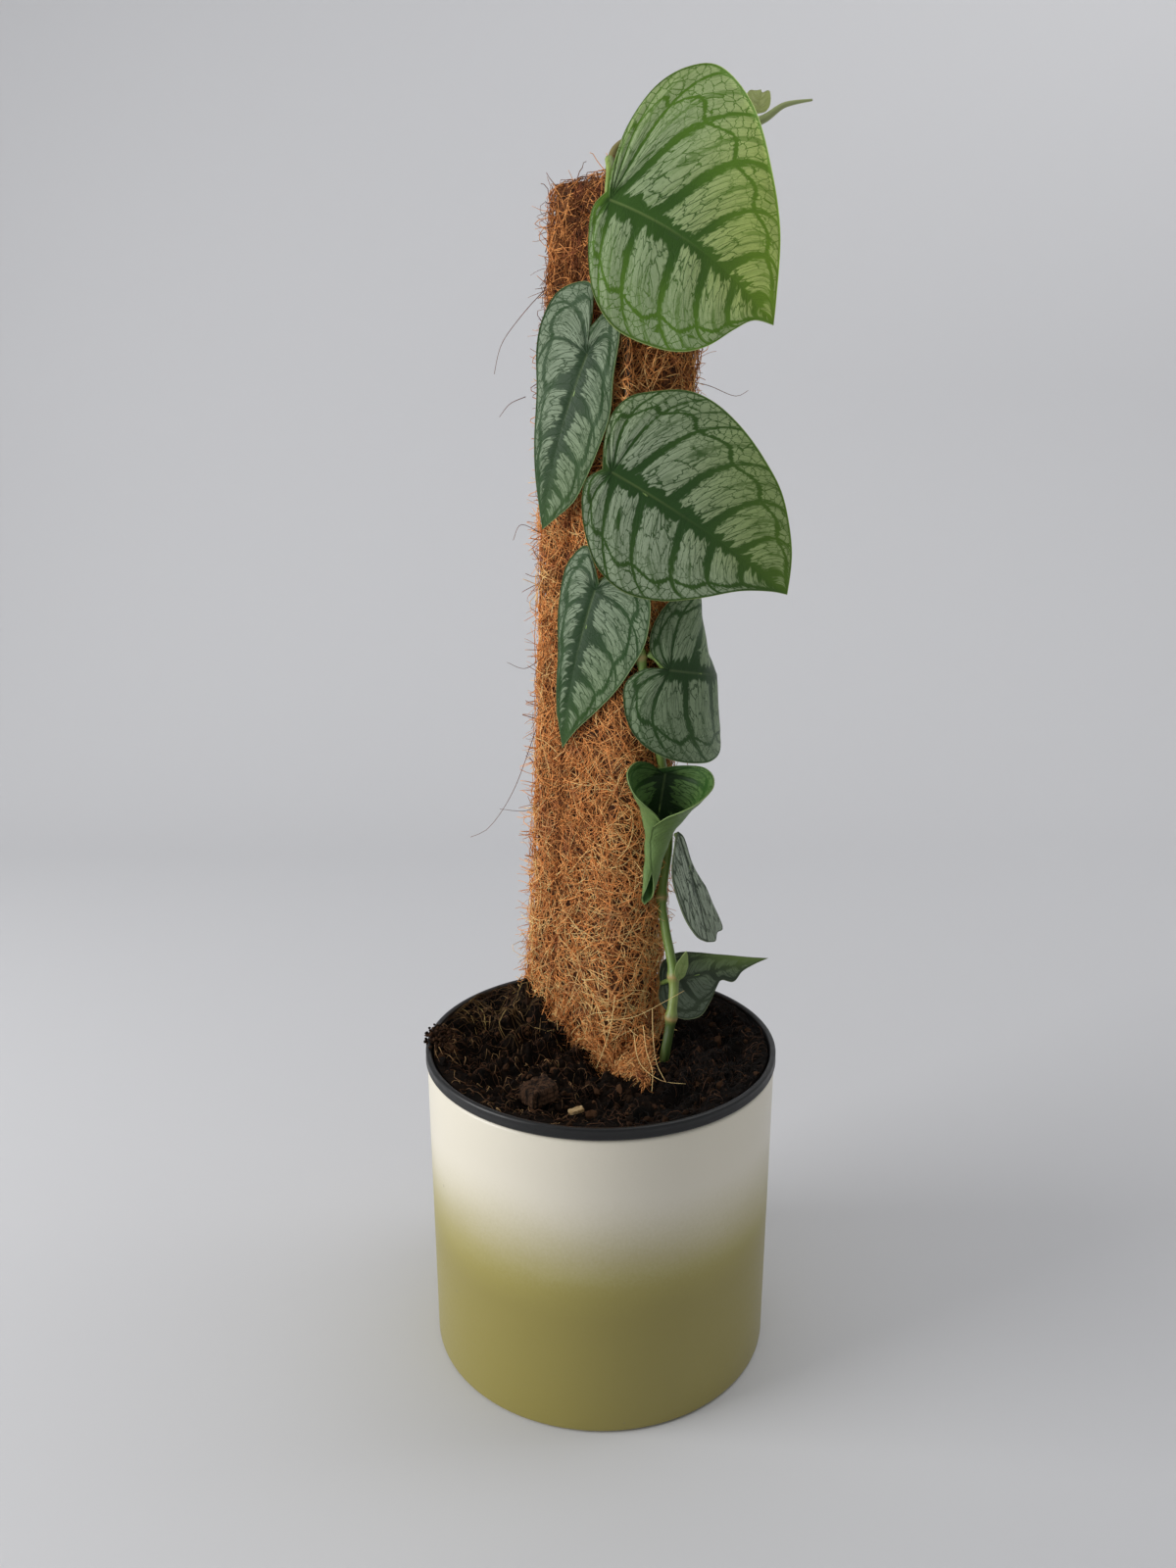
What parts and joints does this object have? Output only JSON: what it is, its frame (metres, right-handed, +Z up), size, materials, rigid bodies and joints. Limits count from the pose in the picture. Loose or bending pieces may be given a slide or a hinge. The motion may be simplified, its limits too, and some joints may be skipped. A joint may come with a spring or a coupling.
{
  "type": "potted monstera dubia on a coir pole",
  "caption": "Young shingling climber with silver-veined heart leaves on a leaning coir pole, in a nursery pot held by a ceramic cachepot.",
  "frame": {"origin": "middle of the cachepot's foot, on the floor", "axes": "+Z up along the pot, -Y towards the side in the picture"},
  "size_m": [0.1523, 0.15, 0.5134],
  "materials": {
    "ceramic": "satin glaze, cream above and olive green below",
    "plastic": "dark, slightly satin",
    "soil": "rough, lumpy and fibrous",
    "coir": "rough tangled fibre",
    "stake": "plain sawn",
    "stem": "soft plant skin, satin",
    "bark": "rough bark",
    "wood_chip": "torn wood",
    "leaf": "satin leaf, dark green with silver-green patches",
    "young_leaf": "satin leaf, yellow-green with pale patches"
  },
  "bodies": {
    "root": {"cachepot": "ceramic", "nursery_pot": "plastic", "soil": "soil", "coir_pole": "coir", "pole_stake": "stake", "stem": "stem", "bark_chip": "bark", "wood_chip": "wood_chip", "leaf_1": "young_leaf", "leaf_2": "leaf", "leaf_3": "leaf", "leaf_4": "leaf", "leaf_5": "leaf", "leaf_6": "leaf", "leaf_7": "leaf", "leaf_8": "leaf", "new_leaf": "young_leaf", "bract": "young_leaf"}
  },
  "joints": []
}
